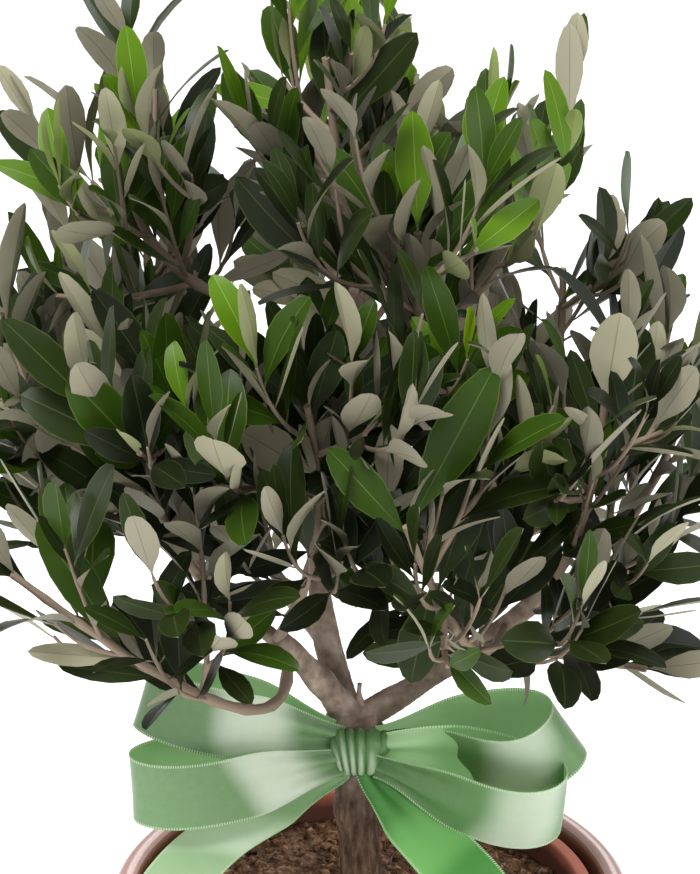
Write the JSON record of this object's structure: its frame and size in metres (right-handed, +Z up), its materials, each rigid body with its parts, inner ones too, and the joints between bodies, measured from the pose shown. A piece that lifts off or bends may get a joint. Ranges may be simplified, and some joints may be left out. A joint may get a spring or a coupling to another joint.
{
  "type": "potted olive tree",
  "caption": "Young olive tree with a short single trunk and a full rounded crown, in a terracotta grow pot stood in a glazed planter, with a satin ribbon bow at its fork",
  "frame": {"origin": "centre of the planter's flat underside", "axes": "+X to the right as seen from the front, +Y to the back, +Z up; the ribbon's bow faces -Y"},
  "size_m": [0.2942, 0.2758, 0.5233],
  "materials": {
    "glaze": "gloss",
    "terracotta": "matte",
    "soil": "matte",
    "bark": "matte",
    "foliage": "satin",
    "satin": "satin"
  },
  "bodies": {
    "root": {"planter": "glaze", "grow_pot": "terracotta", "soil": "soil", "trunk": "bark", "left_bough": "bark", "leader": "bark", "right_bough": "bark", "left_outer_bough": "bark", "rear_left_bough": "bark", "rear_right_bough": "bark", "rear_bough": "bark", "upper_right_bough": "bark", "upper_left_bough": "bark", "ribbon_band": "satin", "ribbon_knot": "satin", "ribbon_loop_left_lower": "satin", "ribbon_loop_left_upper": "satin", "ribbon_loop_right_lower": "satin", "ribbon_loop_right_upper": "satin", "ribbon_tail_left": "satin", "ribbon_tail_right": "satin", "foliage_front_low_left": "foliage", "foliage_front_left": "foliage", "foliage_left": "foliage", "foliage_left_front": "foliage", "foliage_rear_left": "foliage", "foliage_rear_low_left": "foliage", "foliage_rear": "foliage", "foliage_rear_low": "foliage", "foliage_rear_right": "foliage", "foliage_rear_low_right": "foliage", "foliage_right": "foliage", "foliage_right_low": "foliage", "foliage_right_front": "foliage", "foliage_front": "foliage", "foliage_top_right": "foliage", "foliage_front_upper": "foliage", "foliage_upper_left": "foliage", "foliage_top": "foliage", "foliage_rear_top": "foliage"}
  },
  "joints": []
}
